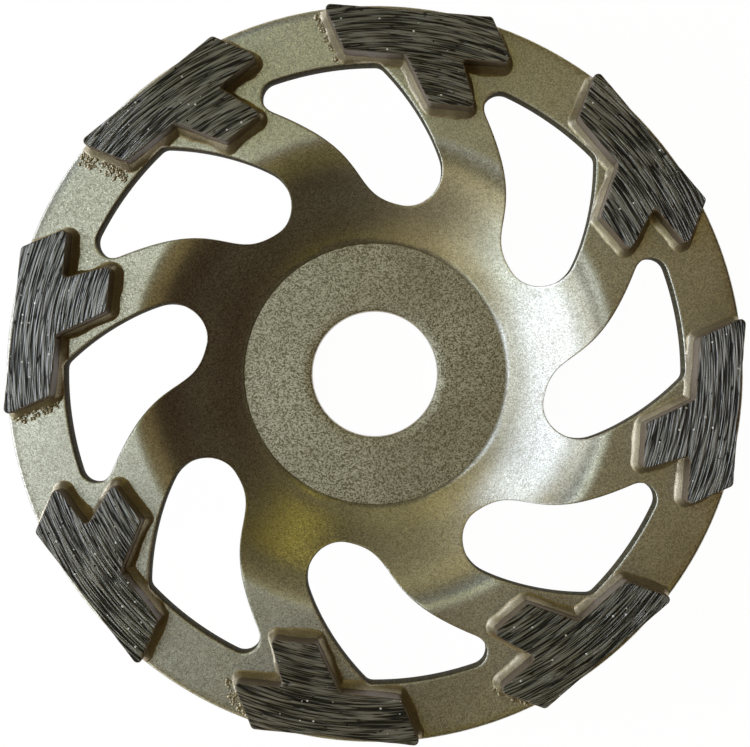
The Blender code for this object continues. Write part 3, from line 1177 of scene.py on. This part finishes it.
@dataclass
class BrazeFillets:
    """The braze: a smooth hollow fillet round each segment's foot, with spatter at some ends."""

    shape: SegmentShape
    window: WindowShape
    paint: Material
    ring_height: float = 17.4 * MM
    leg: float = 1.2 * MM
    climb: float = 1.7 * MM
    rim_limit: float = 62.3 * MM
    window_gap: float = 0.1 * MM
    rows: int = 6
    lumps: float = 3.4 * MM
    small_lumps: float = 0.9 * MM
    sunk: float = 0.03 * MM
    spatter: tuple[SpatterZone, ...] = (
        SpatterZone(3, End.FORWARD, 2.6 * MM, 170),
        SpatterZone(4, End.FORWARD, 1.6 * MM, 90),
        SpatterZone(2, End.FORWARD, 1.4 * MM, 90),
        SpatterZone(6, End.REAR, 2.0 * MM, 90),
        SpatterZone(7, End.REAR, 1.0 * MM, 40),
    )

    def kept_on_ring(self, point: Vector, back: Vector, index: int) -> Vector:
        """Draw a point of the foot back from the rim and from the window beside it.

        Args:
            point: the point, at the segment's own place.
            back: direction towards the segment.
            index: which sector it is in.

        Returns:
            The point on the ring.
        """
        spot = point.copy()
        if spot.length > self.rim_limit:
            spot = spot.normalized() * self.rim_limit
        for sector in (index, index + 1, index - 1):
            turn = sector * SECTOR + math.radians(self.window.shifts[sector % SECTOR_COUNT])
            for _ in range(14):
                local = Matrix.Rotation(-turn, 2) @ spot
                if not self.window.holds(local, self.window_gap):
                    break
                spot += back * self.window_gap
        return spot

    def build(self) -> list[Object]:
        """Make the eight fillets, in order."""
        return [self.fillet(index) for index in range(SECTOR_COUNT)]

    def fillet(self, index: int) -> Object:
        """Make one fillet by extruding its foot's outline up the segment's flank.

        Args:
            index: which segment, from nought.

        Returns:
            The fillet.
        """
        mesh = bmesh.new()
        wall = self.shape.dense_outline(0.02 * MM, 0.35 * MM)
        place = self.shape.place(index)
        count = len(wall)
        normals = []
        for i in range(count):
            side = wall[(i + 1) % count] - wall[i - 1]
            normals.append(Vector((side.y, -side.x)).normalized())
        verts = ring_of_edges(mesh, wall)
        number = {vert: i for i, vert in enumerate(verts)}
        edges = mesh.edges[:]
        for step in range(self.rows + 1):
            share = 1.0 - step / self.rows
            if step:
                source, edges = extrude_edges(mesh, edges)
                number = {vert: number[old] for vert, old in source.items()}
            for vert, i in number.items():
                base = wall[i]
                lump = noise.noise(Vector((base.x, base.y, 7.0 * index * MM)) / self.lumps)
                fine = Vector((base.x, base.y, 5.0 * index * MM)) / self.small_lumps
                small = noise.noise(fine + Vector((9.0, 0.0, share)))
                out = self.leg * share * (1.0 + 0.35 * lump + 0.08 * small)
                rise = self.climb * (1.0 - share) ** 1.6 * (1.0 + 0.3 * lump)
                if share > 0.05:
                    rise += 0.03 * MM * small
                spot = (place @ (base + normals[i] * out).to_3d()).xy
                back = (place.to_3x3() @ (-normals[i]).to_3d()).xy
                spot = self.kept_on_ring(spot, back, index)
                vert.co = (spot.x, spot.y, self.ring_height - self.sunk + max(0.0, rise))
        loops = [edge for edge in mesh.edges if edge.is_boundary]
        bmesh.ops.holes_fill(mesh, edges=loops, sides=0)
        bmesh.ops.recalc_face_normals(mesh, faces=mesh.faces)
        for zone in self.spatter:
            if zone.segment == index:
                self.add_spatter(mesh, zone, place)
        return finish_piece("braze_bead_%d" % (index + 1), mesh, [self.paint], math.radians(60.0))

    def add_spatter(self, mesh: BMesh, zone: SpatterZone, place: Matrix) -> None:
        """Strew flattened grains of braze on the ring beside one end of a segment.

        Args:
            mesh: the fillet's mesh.
            zone: where the grains lie and how many there are.
            place: the segment's place.
        """
        rng = random.Random(zone.segment * 100 + zone.grains)
        outer = self.shape.chord_distance()
        half = 0.5 * self.shape.length
        lean = self.shape.bar_depth * math.tan(self.shape.bar_end_lean)
        start = Vector((outer, zone.end.value * half))
        stop = Vector((outer - self.shape.bar_depth, zone.end.value * half - lean))
        side = stop - start
        away = Vector((-side.y, side.x)).normalized() * -zone.end.value
        turn = zone.segment * SECTOR
        for _ in range(zone.grains):
            share, reach, size = rng.random(), rng.random() ** 1.4, rng.uniform(0.16, 0.40) * MM
            local = start + side * share + away * (0.5 * MM + zone.width * reach)
            spot = (place @ local.to_3d()).xy
            near = [Matrix.Rotation(-turn - k * SECTOR, 2) @ spot for k in (0, 1, -1)]
            if spot.length > self.rim_limit - size or any(self.window.holds(p, 2.0 * size) for p in near):
                continue
            made = bmesh.ops.create_icosphere(mesh, subdivisions=1, radius=size)["verts"]
            grain = Matrix.Translation((spot.x, spot.y, self.ring_height + 0.05 * size))
            sides = [rng.uniform(low, high) for low, high in ((0.8, 1.5), (0.8, 1.2), (0.45, 0.8))]
            shaped = Matrix.Rotation(rng.random() * math.tau, 4, "Z") @ Matrix.Diagonal((*sides, 1.0))
            bmesh.ops.transform(mesh, matrix=grain @ shaped, verts=made)


# The studio


@dataclass(frozen=True)
class Lamp:
    """One soft lamp: the way to it from the wheel, its size, how bright its face is, and its colour."""

    name: str
    azimuth: float
    elevation: float
    size: tuple[float, float]
    radiance: float
    colour: tuple[float, float, float]
    distance: float = 0.8

    def place(self) -> Vector:
        """Where the lamp stands, seen from the wheel."""
        flat = polar(self.distance * math.cos(math.radians(self.elevation)), math.radians(self.azimuth))
        return Vector((flat.x, flat.y, self.distance * math.sin(math.radians(self.elevation))))


@dataclass
class Studio:
    """Floor, lamps, surroundings and camera."""

    table: Material
    camera_height: float = 320.0 * MM
    focal_pixels: float = 1785.0
    axis_pixel: tuple[float, float] = (374.8, 373.9)
    target: Vector = field(default_factory=lambda: Vector((0.0, 0.0, 12.0 * MM)))
    room_light: tuple[float, float, float] = (0.026, 0.006, 0.004)
    lamps: tuple[Lamp, ...] = (
        Lamp("low_window", 180.0, 10.0, (0.80, 0.24), 9.93, (0.63, 0.72, 1.00)),
        Lamp("low_back", 141.0, 9.0, (0.28, 0.24), 10.02, (0.58, 0.71, 1.00)),
        Lamp("low_front", 219.0, 9.0, (0.28, 0.24), 6.62, (0.66, 0.83, 1.00)),
        Lamp("window_light", 180.0, 25.0, (0.80, 0.26), 1.15, (0.81, 0.96, 1.00)),
        Lamp("high_left", 180.0, 42.0, (0.60, 0.24), 2.77, (0.83, 0.91, 1.00)),
        Lamp("upper_left", 200.0, 62.0, (0.34, 0.30), 0.35, (0.94, 1.00, 0.96)),
        Lamp("upper_middle", 163.0, 62.0, (0.34, 0.30), 0.45, (0.88, 0.97, 1.00)),
        Lamp("upper_back", 133.0, 66.0, (0.28, 0.28), 0.53, (0.23, 0.47, 1.00)),
        Lamp("top_left", 182.0, 75.0, (0.20, 0.20), 4.06, (0.78, 0.90, 1.00)),
        Lamp("top_back", 115.0, 78.0, (0.20, 0.20), 1.14, (0.93, 1.00, 0.48)),
        Lamp("far_left", 130.0, 24.0, (0.44, 0.50), 0.68, (1.00, 0.85, 0.27)),
        Lamp("far_back", 104.0, 24.0, (0.40, 0.50), 0.38, (1.00, 0.95, 0.51)),
        Lamp("near_left", 226.0, 26.0, (0.44, 0.50), 0.86, (1.00, 0.95, 0.61)),
        Lamp("near_front", 250.0, 26.0, (0.40, 0.50), 0.40, (1.00, 0.85, 0.55)),
        Lamp("high_right", 0.0, 68.0, (0.80, 0.56), 0.25, (1.00, 0.80, 0.36)),
        Lamp("back_panel", 75.0, 45.0, (0.80, 0.60), 0.18, (1.00, 0.99, 0.51)),
        Lamp("front_panel", 275.0, 50.0, (0.80, 0.60), 0.13, (1.00, 0.94, 0.06)),
        Lamp("warm_lamp", 63.0, 15.0, (0.20, 0.20), 1.09, (1.00, 0.88, 0.12)),
    )

    def build(self) -> None:
        """Set up the floor, the lamps, the surroundings and the camera."""
        self.add_floor()
        for lamp in self.lamps:
            self.add_lamp(lamp)
        self.add_surroundings()
        self.add_camera()

    def add_floor(self) -> None:
        """Lay a wide round table top under the wheel."""
        mesh = bmesh.new()
        bmesh.ops.create_circle(mesh, cap_ends=True, segments=64, radius=12.0)
        floor = finish_piece("table_top", mesh, [self.table], math.radians(40.0))

    def add_lamp(self, lamp: Lamp) -> None:
        """Hang one lamp, facing the wheel.

        Args:
            lamp: what it is like.
        """
        data = bpy.data.lights.new(lamp.name, "AREA")
        data.shape = "RECTANGLE"
        data.size, data.size_y = lamp.size
        data.color = lamp.colour
        # A lamp's watts leave its face over half a sphere, which is pi times its radiance for each area
        data.energy = lamp.radiance * math.pi * lamp.size[0] * lamp.size[1]
        stand = bpy.data.objects.new(lamp.name, data)
        stand.location = lamp.place() + self.target
        stand.rotation_euler = (-lamp.place()).to_track_quat("-Z", "Y").to_euler()
        bpy.context.scene.collection.objects.link(stand)

    def add_surroundings(self) -> None:
        """Plain dim room round the wheel."""
        world = bpy.data.worlds.new("room")
        world.use_nodes = True
        tree = world.node_tree
        tree.nodes.clear()
        glow = add_node(tree, "Background", {"Color": (*self.room_light, 1.0), "Strength": 1.0})
        add_node(tree, "OutputWorld", {"Surface": glow})
        bpy.context.scene.world = world

    def add_camera(self) -> None:
        """Look straight down, with the wheel's axis where the photograph has it."""
        data = bpy.data.cameras.new("camera")
        data.sensor_width = 36.0
        data.lens = self.focal_pixels * data.sensor_width / IMAGE_WIDTH
        data.shift_x = (0.5 * IMAGE_WIDTH - self.axis_pixel[0]) / IMAGE_WIDTH
        data.shift_y = (self.axis_pixel[1] - 0.5 * IMAGE_HEIGHT) / IMAGE_WIDTH
        data.clip_start = 10.0 * MM
        data.clip_end = 50.0
        camera = bpy.data.objects.new("camera", data)
        camera.location = (0.0, 0.0, self.camera_height)
        bpy.context.scene.collection.objects.link(camera)
        bpy.context.scene.camera = camera


def main() -> None:
    """Dress the wheel and set up the studio."""
    logging.basicConfig(level=logging.INFO, format="%(message)s")
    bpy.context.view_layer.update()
    paint = FlakePaint().build()
    flank_paint = FlakePaint(
        name="bronze_flake_on_segment_flank",
        light="#766349",
        dark="#433828",
        stain_and_shade="#33291D",
        metallic=0.25,
        roughness=0.55,
        peel=0.5,
    ).build()
    braze_paint = FlakePaint(
        name="bronze_flake_on_braze",
        light="#BFB294",
        dark="#86785A",
        stain_and_shade="#6C5D40",
        metallic=0.8,
        roughness=0.42,
        peel=0.25,
    ).build()
    metal = SinteredMetal().build()
    shape = SegmentShape()
    window = WindowShape()
    cup = CupBody(DishSection(), window, paint, CutEdge().build())
    declare(cup.build(), "cup_body")
    for i, piece in enumerate(DiamondSegments(shape, metal, flank_paint).build()):
        declare(piece, "segment_%d" % (i + 1))
    for i, piece in enumerate(BrazeFillets(shape, window, braze_paint).build()):
        declare(piece, "braze_%d" % (i + 1))
    Studio(PaleTable().build()).build()
    bpy.context.scene.view_settings.view_transform = "Standard"


if __name__ == "__main__":
    main()
